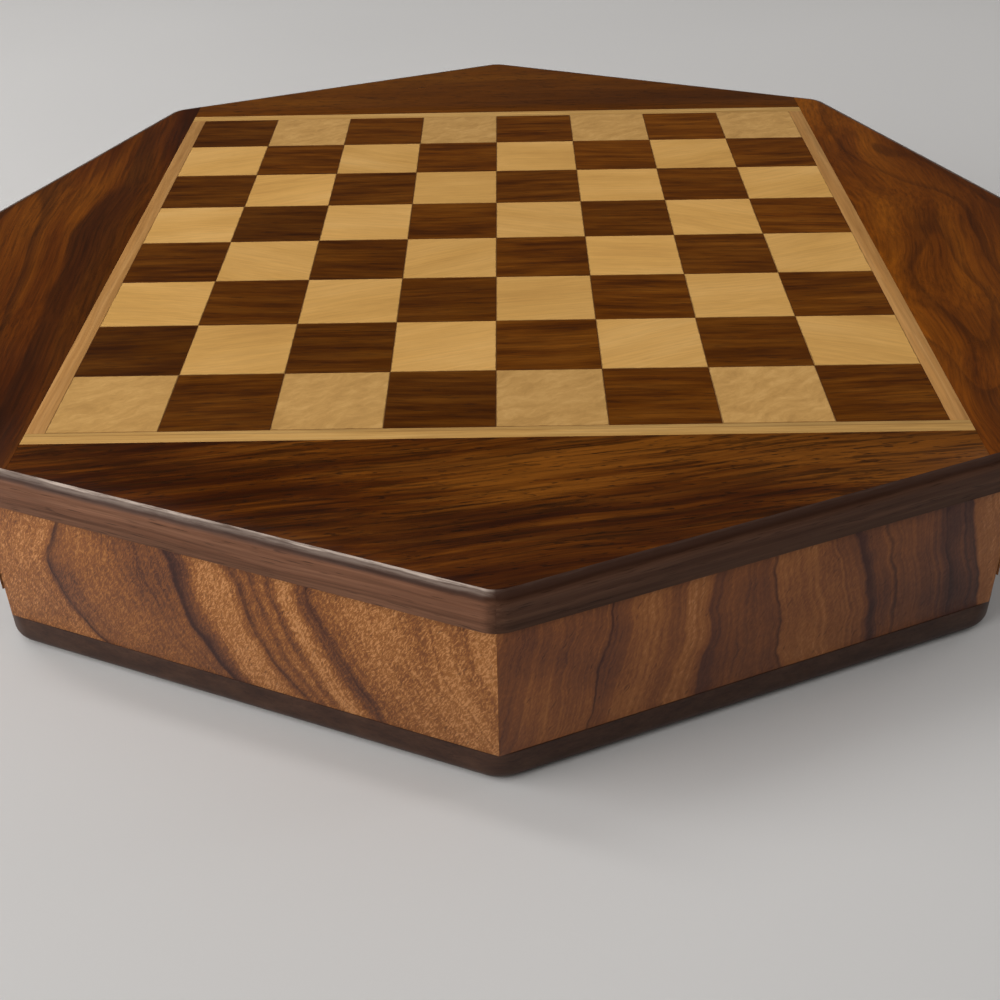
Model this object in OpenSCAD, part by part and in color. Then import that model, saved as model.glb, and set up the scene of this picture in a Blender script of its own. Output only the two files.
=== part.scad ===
// Octagonal chess box with two pointed drawers.
//
// The box stands on Z = 0 with its centre on the Z axis. X runs from the left drawer to the right
// one, and Y from the near corner to the far one. One corner of the octagon lies on each end of these
// axes, and the board's edges are parallel to them. Everything is in millimetres.

/* [Board] */
// Side of one square of the board
square_w = 25.4; // [22:0.1:32]
// Squares along each side of the board
squares = 8; // [6:2:10]
// Width of the pale strip round the squares
border_w = 4.4; // [3:0.1:8]
// Distance from a corner of the pale border to the nearest corner of the flat top
corner_margin = 10; // [6:0.1:30]
// Thickness of the squares, strips and veneers
veneer_t = 1.5; // [0.8:0.1:2.5]

/* [Rim and base] */
// Height of the dark rim
rim_h = 8.7; // [7:0.1:14]
// Width of the rim strips, most of it under the veneers
rim_w = 14; // [12:0.5:24]
// Radius of the rim's rounded upper edge
rim_edge_r = 2.7; // [1:0.1:4]
// Radius of the rim's and the base's corners, seen from above
corner_r = 8; // [7:0.5:11]
// Thickness of the base panel
base_t = 8.2; // [6:0.1:12]
// Radius of the base's rounded lower edge
base_edge_r = 3; // [1:0.1:5]
// How far the base stays behind the rim's outer face
base_inset = 0.6; // [0:0.1:3]

/* [Walls] */
// Height of the walls between the base and the rim
wall_h = 33.4; // [26:0.1:50]
// Thickness of the walls, the sills and the drawer fronts
wall_t = 9; // [6:0.5:14]
// How far the walls stay behind the rim's outer face
wall_inset = 0.8; // [0:0.1:3]
// Height of the sill under a drawer front
sill_h = 7.5; // [4:0.5:12]

/* [Inside the case] */
// How far a corner post reaches into the drawer's way
post_t = 4; // [3:0.5:8]
// Length of a corner post, along the drawer's way
post_len = 11; // [8:0.5:20]
// Width of the strip that carries a drawer's edge
runner_w = 16; // [8:0.5:30]
// Thickness of the strip that keeps the drawers straight
guide_t = 4; // [3:0.5:8]
// Height of that strip above the runner
guide_rise = 8; // [4:0.5:14]
// Thickness of the board between the two drawers
partition_t = 8; // [5:0.5:16]

/* [Drawers] */
// How far a shut drawer's front stands out past the walls, and could still be pushed in
front_proud = 0.5; // [0.4:0.1:2]
// Thickness of a drawer's sides
side_t = 6; // [4:0.5:9]
// Thickness of a drawer's back
back_t = 6; // [4:0.5:9]
// Thickness of a drawer's floor
floor_t = 2.5; // [2:0.1:5]
// Thickness of the felt on a drawer's floor
lining_t = 0.8; // [0.5:0.1:2]
// Depth of the glue block behind a drawer front's mitre
nose_depth = 7.5; // [5:0.5:12]

/* [Knobs] */
// Diameter of the knob's head
knob_head_d = 12; // [10:0.5:18]
// Diameter of the knob's neck
knob_neck_d = 6; // [5.5:0.5:9]
// Diameter of the knob's foot
knob_foot_d = 9; // [8.5:0.5:12]
// How far the knob stands out from its seat
knob_len = 13; // [11:0.5:20]
// Diameter of the knob's screw
screw_d = 3; // [2.5:0.5:4]
// Diameter of the screw's head
screw_head_d = 5.6; // [5:0.1:8]
// Length of the screw inside the knob
screw_grip = 6; // [4:0.5:8]

/* [Clearances] */
// Gap beside a drawer, and at the ends of its front
fit_gap = 0.4; // [0.3:0.05:0.8]
// Gap under and over a drawer's front, and under its floor
slide_gap = 0.3; // [0.3:0.05:0.6]
// Gap between the drawer's sides and the underside of the top
head_gap = 1.5; // [1:0.1:3]
// Gap round the felt
lining_gap = 0.2; // [0.1:0.1:1]
// Radial gap between the screw and its hole in the wood
screw_gap = 0.2; // [0.1:0.05:0.4]
// Radial gap between the knob and its seat
seat_gap = 0.5; // [0.3:0.1:1]

/* [Hidden] */
// Half of the turn from one side of an octagon to the next
half_turn = 22.5;
// Turn from the direction that a side faces to the square of the mitre plane at its end
mitre_turn = 90 - half_turn;
// Directions in which the eight sides face
near_left = 247.5;
near_right = 292.5;
right_near = 337.5;
right_far = 22.5;
far_right = 67.5;
far_left = 112.5;
left_far = 157.5;
left_near = 202.5;

// Heights, from the floor up
base_top = base_t;
sill_top = base_top + sill_h;
wall_top = base_top + wall_h;
core_top = wall_top + rim_h - veneer_t;

// Distances of the octagons' sides from the centre
board_half = squares * square_w / 2;
border_half = board_half + border_w;
flat_d = (border_half * sqrt(2) + corner_margin) * cos(half_turn);
rim_out = flat_d + rim_edge_r;
rim_in = rim_out - rim_w;
wall_out = rim_out - wall_inset;
wall_in = wall_out - wall_t;
base_out = rim_out - base_inset;
// Farther from the centre than anything in the box
reach = 2 * rim_out;
// How far the parts of one solid lap over each other
lap = 1;

// Plan of the way that a drawer slides in
inner_corner = meet(right_far, wall_in, far_right, wall_in);
guide_y = inner_corner[1];
post_y = guide_y - post_t;
post_x = inner_corner[0] - post_len;
guide_x = min(post_x, meet(far_right, wall_in, 90, guide_y + guide_t)[0]);

// Plan of a drawer, on the right, before it is moved out by front_proud
side_y = post_y - fit_gap;
side_in_y = side_y - side_t;
back_x = partition_t / 2 + fit_gap;
tray_x = back_x + back_t;
nose_x = wall_in / cos(half_turn) - nose_depth;

// Heights in a drawer
drawer_low = sill_top + slide_gap;
floor_top = drawer_low + floor_t;
side_top = wall_top - head_gap;
face_top = wall_top - slide_gap;
knob_z = (drawer_low + face_top) / 2;

// The knob sits on a flat of its own foot's size, sunk into the corner of the front
seat_r = knob_foot_d / 2 + seat_gap;
seat_x = wall_out / cos(half_turn) - seat_r * tan(half_turn);
screw_end = seat_x + screw_grip;
screw_head_h = 2;
bore_gap = 0.05;

dark_brown = [0.24, 0.14, 0.10];
sheesham = [0.56, 0.33, 0.18];
rosewood = [0.34, 0.17, 0.06];
walnut = [0.37, 0.20, 0.07];
maple = [0.78, 0.60, 0.36];
plain_wood = [0.70, 0.55, 0.38];
board_core = [0.62, 0.48, 0.33];
felt = [0.10, 0.28, 0.16];
brass = [0.80, 0.62, 0.26];
steel = [0.66, 0.67, 0.70];

$fn = 96;

// ---- Geometry that the pieces share ----

// The point where two upright planes cross, seen from above. A plane is given by the direction that it
// faces and by its distance from the centre in that direction.
function meet(a, d, b, e) =
    [(d * sin(b) - e * sin(a)) / sin(b - a), (e * cos(a) - d * cos(b)) / sin(b - a)];

// Corners of an octagon whose sides lie at distance d
function octagon(d) = [for (k = [0:7]) d / cos(half_turn) * [cos(45 * k), sin(45 * k)]];

// Plan of a board that faces direction a, mitred at both ends. The gaps keep its ends off the mitre planes.
function mitred(a, inner, outer, start_gap = 0, end_gap = 0) = [
    meet(a, inner, a + mitre_turn, start_gap),
    meet(a, outer, a + mitre_turn, start_gap),
    meet(a, outer, a - mitre_turn, end_gap),
    meet(a, inner, a - mitre_turn, end_gap)
];

// Upright solid with the given plan
module prism(plan, low, high) {
    translate([0, 0, low])
        linear_extrude(high - low)
            polygon(plan);
}

// Section of an edge strip, from its inner side at 0 to its outer face at corner_r. Its upper outer
// corner is round.
module edge_section(height, round_r) {
    square([corner_r - round_r, height]);
    square([corner_r, height - round_r]);
    translate([corner_r - round_r, height - round_r])
        intersection() {
            circle(round_r);
            square(round_r);
        }
}

// The child section swept along one side of an octagon whose corners have their centres at the corners
// of an octagon at distance flat, and then round the corner at the side's end, through corner_turn
module swept_side(flat, corner_turn) {
    half = flat * tan(half_turn);
    translate([flat, half, 0])
        rotate([90, 0, 0])
            linear_extrude(2 * half)
                children();
    translate([flat, half, 0])
        rotate_extrude(angle = corner_turn)
            children();
}

// Flat octagon with round corners, seen from above
module round_octagon(d, r) {
    centres = octagon(d - r);
    polygon([
        for (k = [0:7], turn = [-half_turn, half_turn])
            centres[k] + r * [cos(45 * k + turn), sin(45 * k + turn)]
    ]);
    for (centre = centres)
        translate(centre)
            circle(r);
}

// Puts its children on the right or the left
module on_side(side) {
    if (side == "right")
        children();
    else
        mirror([1, 0, 0])
            children();
}

// Puts its children, drawn on the far side, on the far or the near side
module on_half(half) {
    if (half == "far")
        children();
    else
        mirror([0, 1, 0])
            children();
}

// ---- Case ----

// One eighth of the base, between the X axis and the line at 45 degrees to it
module base_eighth() {
    flat = base_out - corner_r;
    intersection() {
        prism([[0, 0], [reach, 0], [reach, reach]], -lap, base_top + lap);
        rotate(half_turn)
            union() {
                translate([0, -flat, 0])
                    cube([flat + lap, 2 * flat, base_top]);
                for (half = ["near", "far"])
                    on_half(half)
                        swept_side(flat, 2 * half_turn)
                            translate([0, base_t])
                                mirror([0, 1])
                                    edge_section(base_t, base_edge_r);
            }
    }
}

// Base board with round corners and a rounded lower edge
module base_panel() {
    color(dark_brown)
        for (a = [0, 1], b = [0, 1], c = [0, 1])
            mirror([a, 0, 0])
                mirror([0, b, 0])
                    mirror([c, -c, 0])
                        base_eighth();
}

// Fixed side board
module wall(a) {
    color(sheesham)
        prism(mitred(a, wall_in, wall_out), base_top, wall_top);
}

// Low rail that a drawer front passes over
module sill(a) {
    color(sheesham)
        prism(mitred(a, wall_in, wall_out), base_top, sill_top);
}

// Block in the corner between a wall and a drawer. Its slanted end stops the drawer's front.
module post(side, half) {
    color(plain_wood)
        on_side(side)
            on_half(half)
                prism(
                    [
                        [post_x, post_y],
                        meet(right_far, wall_in, 90, post_y),
                        meet(right_far, wall_in, far_right, wall_in),
                        meet(0, post_x, far_right, wall_in)
                    ],
                    base_top,
                    wall_top
                );
}

// Strip that carries the edges of both drawers
module runner(half) {
    color(plain_wood)
        on_half(half)
            translate([-guide_x, guide_y - runner_w, base_top])
                cube([2 * guide_x, runner_w, sill_h]);
}

// Strip beside the drawers, on which the ends of their backs slide
module guide(half) {
    color(plain_wood)
        on_half(half)
            translate([-guide_x, guide_y, base_top])
                cube([2 * guide_x, guide_t, sill_h + guide_rise]);
}

// Cross board between the drawers, notched over the runners
module centre_partition() {
    color(plain_wood)
        difference() {
            translate([-partition_t / 2, -guide_y, base_top])
                cube([partition_t, 2 * guide_y, wall_h]);
            for (half = ["near", "far"])
                on_half(half)
                    translate([-partition_t, guide_y - runner_w, base_top - 1])
                        cube([2 * partition_t, 2 * runner_w, sill_h + 1]);
        }
}

// Board that fills the rim and carries the inlay
module core_panel() {
    color(board_core)
        prism(octagon(rim_in), wall_top, core_top);
}

// Section of the rim, with a rebate for the veneer and a rounded upper edge
module rim_section() {
    translate([0, wall_top])
        difference() {
            edge_section(rim_h, rim_edge_r);
            translate([-1, rim_h - veneer_t])
                square([corner_r - rim_edge_r + 1, veneer_t + 1]);
        }
}

// One of the eight mitred strips of the rim
module rim(a) {
    flat = rim_out - corner_r;
    color(dark_brown)
        rotate(a)
            intersection() {
                prism(mitred(0, rim_in - lap, reach), wall_top - lap, wall_top + rim_h + lap);
                union() {
                    translate([rim_in, -flat, wall_top])
                        cube([flat - rim_in + lap, 2 * flat, core_top - wall_top]);
                    for (half = ["near", "far"])
                        on_half(half)
                            swept_side(flat, 2 * half_turn)
                                rim_section();
                }
            }
}

// ---- Inlay ----

// Veneer beyond the border: the part of the flat top that lies inside the given rectangle
module field(low, high) {
    color(rosewood)
        translate([0, 0, core_top])
            linear_extrude(veneer_t)
                intersection() {
                    round_octagon(flat_d, corner_r - rim_edge_r);
                    translate(low)
                        square(high - low);
                }
}

// Pale strip between two corners, given in plan
module border(low, high) {
    color(maple)
        translate([low[0], low[1], core_top])
            cube([high[0] - low[0], high[1] - low[1], veneer_t]);
}

// Every second square of the board. The near left square is a light one.
module inlaid_squares(parity) {
    for (column = [0:squares - 1], row = [0:squares - 1])
        if ((column + row) % 2 == parity)
            translate([column * square_w - board_half, row * square_w - board_half, core_top])
                cube([square_w, square_w, veneer_t]);
}

module light_squares() {
    color(maple)
        inlaid_squares(0);
}

module dark_squares() {
    color(walnut)
        inlaid_squares(1);
}

// ---- Drawers, drawn on the right and moved to their side ----

module in_drawer(side) {
    on_side(side)
        translate([front_proud, 0, 0])
            children();
}

// Lies along the knob's axis, from one distance to another
module knob_axis_rod(r, from, to) {
    translate([from, 0, knob_z])
        rotate([0, 90, 0])
            cylinder(r = r, h = to - from);
}

// Half of the pointed front, with half of the screw's hole and of the knob's seat
module face(side, half) {
    // Moving the front out by front_proud adds to the gap at its end
    end_gap = fit_gap - front_proud * cos(45);
    color(sheesham)
        in_drawer(side)
            on_half(half)
                difference() {
                    prism(mitred(right_far, wall_in, wall_out, 0, end_gap), drawer_low, face_top);
                    knob_axis_rod(screw_d / 2 + screw_gap, nose_x, reach);
                    knob_axis_rod(seat_r, seat_x, reach);
                }
}

// Side board, from the back to the slanted inner face of the front
module side_board(side, half) {
    color(plain_wood)
        in_drawer(side)
            on_half(half)
                prism(
                    [
                        [tray_x, side_in_y],
                        meet(right_far, wall_in, 90, side_in_y),
                        meet(right_far, wall_in, 90, side_y),
                        [tray_x, side_y]
                    ],
                    floor_top,
                    side_top
                );
}

// Back board. Its ends stand out past the sides and catch the corner posts.
module back(side) {
    ear_y = guide_y - fit_gap;
    color(plain_wood)
        in_drawer(side)
            translate([back_x, -ear_y, floor_top])
                cube([back_t, 2 * ear_y, side_top - floor_top]);
}

// Floor, under the sides and the back
module floor_board(side) {
    front = meet(right_far, wall_in, 90, side_y);
    tip = wall_in / cos(half_turn);
    color(plain_wood)
        in_drawer(side)
            prism(
                [[back_x, -side_y], [front[0], -front[1]], [tip, 0], front, [back_x, side_y]],
                drawer_low,
                floor_top
            );
}

// Felt on the floor, cut off in front of the glue block
module lining(side) {
    back_edge = tray_x + lining_gap;
    front_edge = nose_x - lining_gap;
    half_width = side_in_y - lining_gap;
    wide = meet(right_far, wall_in - lining_gap, 90, half_width);
    narrow = meet(right_far, wall_in - lining_gap, 0, front_edge);
    color(felt)
        in_drawer(side)
            prism(
                [
                    [back_edge, -half_width], [wide[0], -wide[1]], [narrow[0], -narrow[1]],
                    narrow, wide, [back_edge, half_width]
                ],
                floor_top,
                floor_top + lining_t
            );
}

// Three-cornered glue block behind the front's mitre
module nose_block(side) {
    corner = meet(right_far, wall_in, 0, nose_x);
    tip = wall_in / cos(half_turn);
    color(plain_wood)
        in_drawer(side)
            difference() {
                prism([[corner[0], -corner[1]], [tip, 0], corner], floor_top, side_top);
                knob_axis_rod(screw_d / 2 + screw_gap, nose_x - 1, tip + 1);
            }
}

// Turned knob: foot, waisted neck and domed head
module knob(side) {
    foot_h = 1.4;
    head_h = 5;
    dome_h = 1.6;
    dome_r = (pow(knob_head_d / 2, 2) + dome_h * dome_h) / (2 * dome_h);
    color(brass)
        in_drawer(side)
            translate([seat_x, 0, knob_z])
                rotate([0, 90, 0])
                    rotate_extrude()
                        difference() {
                            union() {
                                square([knob_foot_d / 2, foot_h]);
                                square([knob_neck_d / 2, knob_len - head_h + 1]);
                                translate([0, knob_len - head_h])
                                    square([knob_head_d / 2, head_h - dome_h]);
                                intersection() {
                                    translate([0, knob_len - dome_r])
                                        circle(dome_r);
                                    translate([0, knob_len - dome_h - 0.5])
                                        square([knob_head_d / 2, dome_h + 0.5]);
                                }
                            }
                            square([screw_d / 2 + bore_gap, screw_grip + 0.5]);
                        }
}

// Screw that holds the knob, put in from inside the drawer
module knob_screw(side) {
    color(steel)
        in_drawer(side)
            union() {
                knob_axis_rod(screw_d / 2, nose_x - 0.5, screw_end);
                knob_axis_rod(screw_head_d / 2, nose_x - screw_head_h, nose_x);
            }
}

base_panel();
wall(near_left);  // wall_near_left
wall(near_right);  // wall_near_right
wall(far_right);  // wall_far_right
wall(far_left);  // wall_far_left
sill(left_near);  // sill_left_near
sill(left_far);  // sill_left_far
sill(right_near);  // sill_right_near
sill(right_far);  // sill_right_far
post("left", "near");  // post_left_near
post("left", "far");  // post_left_far
post("right", "near");  // post_right_near
post("right", "far");  // post_right_far
runner("near");  // runner_near
runner("far");  // runner_far
guide("near");  // guide_near
guide("far");  // guide_far
centre_partition();
core_panel();
rim(near_left);  // rim_near_left
rim(near_right);  // rim_near_right
rim(right_near);  // rim_right_near
rim(right_far);  // rim_right_far
rim(far_right);  // rim_far_right
rim(far_left);  // rim_far_left
rim(left_far);  // rim_left_far
rim(left_near);  // rim_left_near
field([-border_half, -reach], [border_half, -border_half]);  // field_near
field([-border_half, border_half], [border_half, reach]);  // field_far
field([-reach, -reach], [-border_half, reach]);  // field_left
field([border_half, -reach], [reach, reach]);  // field_right
border([-border_half, -border_half], [border_half, -board_half]);  // border_near
border([-border_half, board_half], [border_half, border_half]);  // border_far
border([-border_half, -board_half], [-board_half, board_half]);  // border_left
border([board_half, -board_half], [border_half, board_half]);  // border_right
light_squares();
dark_squares();
face("left", "near");  // left_face_near
face("left", "far");  // left_face_far
side_board("left", "near");  // left_side_near
side_board("left", "far");  // left_side_far
back("left");  // left_back
floor_board("left");  // left_floor
lining("left");  // left_lining
nose_block("left");  // left_nose_block
knob("left");  // left_knob
knob_screw("left");  // left_knob_screw
face("right", "near");  // right_face_near
face("right", "far");  // right_face_far
side_board("right", "near");  // right_side_near
side_board("right", "far");  // right_side_far
back("right");  // right_back
floor_board("right");  // right_floor
lining("right");  // right_lining
nose_block("right");  // right_nose_block
knob("right");  // right_knob
knob_screw("right");  // right_knob_screw
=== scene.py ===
# %% [markdown]
# # An octagonal chess box with two drawers
# The box is a low octagon of figured sheesham on a dark base, with a dark rounded rim. Its top is an inlaid
# chessboard, and two pointed drawers slide out of it to the left and the right. The construction is loaded
# as a fixed frame, and this lesson dresses it: it remodels the pieces that show, and gives each a finish.

# %% Load the frame
import math
import random

import bmesh
import bpy
from mathutils import Matrix, Vector


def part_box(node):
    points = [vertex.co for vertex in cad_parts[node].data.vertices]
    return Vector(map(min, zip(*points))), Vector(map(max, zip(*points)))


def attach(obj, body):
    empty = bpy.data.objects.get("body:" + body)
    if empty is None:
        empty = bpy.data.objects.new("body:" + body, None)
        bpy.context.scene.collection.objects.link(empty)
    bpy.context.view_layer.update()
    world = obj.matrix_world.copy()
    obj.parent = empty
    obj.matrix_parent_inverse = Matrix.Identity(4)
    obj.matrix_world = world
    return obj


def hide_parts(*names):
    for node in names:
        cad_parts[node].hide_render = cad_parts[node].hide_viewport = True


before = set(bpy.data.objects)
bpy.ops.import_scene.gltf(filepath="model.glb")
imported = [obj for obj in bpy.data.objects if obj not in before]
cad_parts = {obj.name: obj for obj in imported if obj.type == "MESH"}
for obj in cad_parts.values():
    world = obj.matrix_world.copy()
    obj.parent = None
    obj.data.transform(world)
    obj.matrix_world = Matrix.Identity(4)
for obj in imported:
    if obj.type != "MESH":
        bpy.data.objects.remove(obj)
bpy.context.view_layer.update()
bpy.ops.object.select_all(action="DESELECT")

# %% [markdown]
# ## Sizes
# All sizes are in metres. Heights are read from the frame, so that each new piece sits where its solid is.
# The octagon's distances follow from the squares, as on the real box: the maker lays out the board first
# and then draws the octagon round it. An inset is how far a part lies behind the rim's face, and an ease is
# how much of a sharp edge is sanded away.

# %% Sizes
MM = 0.001
square = 25.4 * MM
squares = 8
border_w = 4.4 * MM
corner_margin = 10 * MM
rim_edge_r = 2.7 * MM
rim_w = 14 * MM
corner_r = 8 * MM
wall_t = 9 * MM
wall_inset = 0.8 * MM
base_inset = 0.6 * MM
base_edge_r = 3 * MM
veneer_ease = 0.10 * MM
mitre_ease = 0.15 * MM
board_ease = 0.25 * MM

half_turn = math.radians(22.5)
base_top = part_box("base_panel")[1][2]
wall_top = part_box("wall_near_left")[1][2]
core_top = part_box("core_panel")[1][2]
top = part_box("light_squares")[1][2]
board_half = squares * square / 2
border_half = board_half + border_w
flat_d = (border_half * math.sqrt(2) + corner_margin) * math.cos(half_turn)
rim_out = flat_d + rim_edge_r
wall_out = rim_out - wall_inset
base_out = rim_out - base_inset
print("Across the flats: %.1f mm, height %.1f mm" % (2000 * rim_out, 1000 * top))

# %% [markdown]
# ## The view
# The camera stands close, about 40 cm from the middle of the board, and looks down over the near corner.
# Its direction is written as three axes, because a camera's picture plane is easiest to check that way.

# %% Camera
def placed(place, *axes):
    """Matrix that puts an object at a place, with its own X, Y and Z along three directions."""
    return Matrix.Translation(place) @ Matrix(axes).transposed().to_4x4()


camera_data = bpy.data.cameras.new("camera")
camera_data.sensor_width = 36
camera_data.lens = 48.055
camera = bpy.data.objects.new("camera", camera_data)
bpy.context.collection.objects.link(camera)
to_right = Vector((0.999859, -0.001418, -0.016712))
to_top = Vector((0.014464, 0.577344, 0.816373))
to_eye = Vector((0.008491, -0.816500, 0.577283))
camera.matrix_world = placed((0.00318, -0.35545, 0.20964), to_right, to_top, to_eye)
bpy.context.scene.camera = camera
bpy.context.scene.view_settings.view_transform = "Standard"
print("Camera looks down by %.1f degrees" % math.degrees(math.asin(to_eye.z)))

# %% [markdown]
# ## Graphs of nodes
# The sky and every finish are graphs of nodes. This helper adds a node, plugs values or other nodes into
# it, and returns what comes out.

# %% Node graph
class Graph:
    """Holds one tree while its nodes are put together."""

    def __init__(self, tree):
        self.tree = tree

    def plug(self, value, socket):
        if isinstance(value, bpy.types.NodeSocket):
            self.tree.links.new(value, socket)
        else:
            socket.default_value = value

    def node(self, kind, inputs=None, **settings):
        made = self.tree.nodes.new("ShaderNode" + kind)
        for key, value in settings.items():
            setattr(made, key, value)
        for key, value in (inputs or {}).items():
            self.plug(value, made.inputs[key])
        return made

    def math(self, operation, a, b=0.0):
        return self.node("Math", {0: a, 1: b}, operation=operation).outputs[0]

    def plus(self, a, b):
        return self.math("ADD", a, b)

    def minus(self, a, b):
        return self.math("SUBTRACT", a, b)

    def times(self, a, b):
        return self.math("MULTIPLY", a, b)

    def split(self, vector):
        return self.node("SeparateXYZ", {0: vector}).outputs

    def fade(self, value, low, high, to_low=0.0, to_high=1.0):
        """Changes smoothly from one value to another, while its input goes from low to high."""
        inputs = {"Value": value, "From Min": low, "From Max": high, "To Min": to_low, "To Max": to_high}
        return self.node("MapRange", inputs, interpolation_type="SMOOTHSTEP").outputs[0]

    def seen(self, mirrored_share=1.0):
        """One for a ray that is seen directly, and a share for one seen in a reflection or through glass."""
        rays = self.node("LightPath").outputs
        mirrored = self.math("MAXIMUM", rays["Is Glossy Ray"], rays["Is Transmission Ray"])
        mirrored = self.times(mirrored, mirrored_share)
        return self.math("MAXIMUM", rays["Is Camera Ray"], mirrored)


# %% [markdown]
# ## The light
# A large soft lamp stands at the left, like a window, and lights the left faces. A narrow strip hangs
# parallel to the rim's near left edge and lays a bright line along it. A weak lamp at the right lights the
# far side. The sky is brighter overhead than at the horizon, and darkest behind the box, so it fills the
# shadows but doesn't haze the lacquer. Low down it looks pale, as a studio's backdrop does, but gives no
# more light for that.

# %% Lamps and sky
def add_lamp(name, place, aim, size, power, along=(0, 1, 0)):
    """Rectangular lamp. Its first size runs along the given direction."""
    lamp = bpy.data.lights.new(name, "AREA")
    lamp.shape = "RECTANGLE"
    lamp.size, lamp.size_y = size
    lamp.energy = power
    back = (Vector(place) - Vector(aim)).normalized()
    side = (Vector(along) - Vector(along).project(back)).normalized()
    holder = bpy.data.objects.new(name, lamp)
    holder.matrix_world = placed(place, side, back.cross(side), back)
    bpy.context.collection.objects.link(holder)
    print(name, "gives", power, "W")


add_lamp("window_lamp", (-1.10, -0.42, 0.75), (0, 0, 0.03), (1.4, 1.1), 16.5)
add_lamp("strip_lamp", (-0.55, 0.25, 0.98), (-0.55, 0.25, 0), (0.80, 0.10), 2.4, (-0.924, 0.383, 0))
add_lamp("far_fill", (1.25, 0.50, 0.50), (0, 0, 0.03), (0.9, 0.6), 4.0)
sky = bpy.data.worlds.new("sky")
bpy.context.scene.world = sky
sky.use_nodes = True
backdrop_tone = 0.58
graph = Graph(sky.node_tree)
way = graph.split(graph.node("TexCoord").outputs["Generated"])
brighter_overhead = graph.fade(way["Z"], 0.5, 1.0, 0.14, 0.52)
darker_behind = graph.fade(way["Y"], 0.6, 0.95, 1.0, 0.35)
lit = graph.times(brighter_overhead, darker_behind)
lowest_band = graph.fade(way["Z"], 0.03, 0.12, 1.0, 0.0)
less_behind = graph.fade(way["Y"], 0.5, 0.85, 1.0, 0.1)
seen = graph.seen(graph.times(less_behind, lowest_band))
horizon = graph.times(graph.fade(way["Z"], 0.35, 0.80, backdrop_tone, 0.0), seen)
background = sky.node_tree.nodes["Background"].inputs
graph.plug(graph.math("MAXIMUM", lit, horizon), background["Strength"])
background["Color"].default_value = (1.0, 0.99, 0.98, 1)
print("The horizon looks", backdrop_tone, "pale")

# %% [markdown]
# ## Tools for shaping
# Every piece starts as a primitive. It is then opened in edit mode, a few faces or edges are picked by
# where they are or how they run, and one operator works on them. These helpers do the picking. A step is
# one flat facet of a rounding.

# %% Picking and shaping
same_place = 1e-6
cutter_over = 10 * MM
flat_angle = math.radians(1)
sharp_angle = math.radians(35)
smooth_angle = math.radians(40)
ease_steps = 2
edge_steps = 7
corner_steps = 8


def pick(piece):
    bpy.ops.object.select_all(action="DESELECT")
    piece.select_set(True)
    bpy.context.view_layer.objects.active = piece


def open_piece(piece, kind, test):
    """Opens a piece in edit mode, with only those parts of a kind selected that pass the test."""
    pick(piece)
    bpy.ops.object.mode_set(mode="EDIT")
    bpy.ops.mesh.select_mode(type=kind)
    bpy.ops.mesh.select_all(action="DESELECT")
    mesh = bmesh.from_edit_mesh(piece.data)
    parts = {"VERT": mesh.verts, "EDGE": mesh.edges, "FACE": mesh.faces}[kind]
    for part in [part for part in parts if test(part)]:
        part.select_set(True)
    mesh.select_flush_mode()
    bmesh.update_edit_mesh(piece.data)


def close_piece():
    bpy.ops.object.mode_set(mode="OBJECT")


def is_upright(edge):
    run = edge.verts[0].co - edge.verts[1].co
    return abs(run.z) > 0.99 * run.length


def at_height(z):
    return lambda part: all(abs(corner.co.z - z) < same_place for corner in part.verts)


def settle(piece, name):
    """Names a piece and applies its place, so that its object sits at the origin."""
    pick(piece)
    bpy.ops.object.transform_apply(location=True, rotation=True, scale=True)
    piece.name = piece.data.name = name
    return piece


def apply_modifier(piece, kind, **settings):
    pick(piece)
    modifier = piece.modifiers.new(kind.lower(), kind)
    for key, value in settings.items():
        setattr(modifier, key, value)
    bpy.ops.object.modifier_apply(modifier=modifier.name)


def shade_smooth(piece, angle):
    pick(piece)
    bpy.ops.object.shade_smooth_by_angle(angle=angle)


def ease_edges(piece, width):
    """Breaks the sharp edges, as a few strokes of sandpaper do."""
    apply_modifier(piece, "BEVEL", width=width, segments=ease_steps, limit_method="ANGLE",
                   angle_limit=sharp_angle, use_clamp_overlap=True)
    shade_smooth(piece, smooth_angle)


# %% Blocks and octagons
def add_block(name, low, high):
    bpy.ops.mesh.primitive_cube_add(
        size=1,
        location=[(a + b) / 2 for a, b in zip(low, high)],
        scale=[b - a for a, b in zip(low, high)],
    )
    return settle(bpy.context.object, name)


def add_octagon(name, distance, low, high, round_r=0.0):
    """Eight-sided block whose sides lie at a distance from the centre, with rounded upright edges."""
    bpy.ops.mesh.primitive_cylinder_add(
        vertices=8,
        radius=distance / math.cos(half_turn),
        depth=high - low,
        location=(0, 0, (low + high) / 2),
    )
    block = settle(bpy.context.object, name)
    if round_r:
        open_piece(block, "EDGE", is_upright)
        bpy.ops.mesh.bevel(offset=round_r * math.tan(half_turn), segments=corner_steps, affect="EDGES")
        close_piece()
    return block


def copy_piece(piece, name):
    pick(piece)
    bpy.ops.object.duplicate()
    twin = bpy.context.object
    twin.name = twin.data.name = name
    return twin


def slice_off(piece, point, outwards):
    """Saws through a piece and drops what lies beyond the cut."""
    open_piece(piece, "VERT", lambda corner: True)
    bpy.ops.mesh.bisect(plane_co=point, plane_no=outwards, use_fill=True, clear_outer=True)
    close_piece()


def carve(piece, cutter):
    apply_modifier(piece, "BOOLEAN", operation="DIFFERENCE", object=cutter, solver="EXACT")
    bpy.data.objects.remove(cutter)


# %% [markdown]
# ## Grain directions
# The pattern of wood isn't printed on it, but runs through it. Each piece therefore stores, at every
# corner of its mesh, where that corner lay in the plank: along the grain, across it, and through it.
# One finish can then serve many boards, and each board still has its own figure.

# %% Grain attributes
random.seed(64)
plank_reach = 5
x_axis, y_axis, z_axis = (1, 0, 0), (0, 1, 0), (0, 0, 1)


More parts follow.
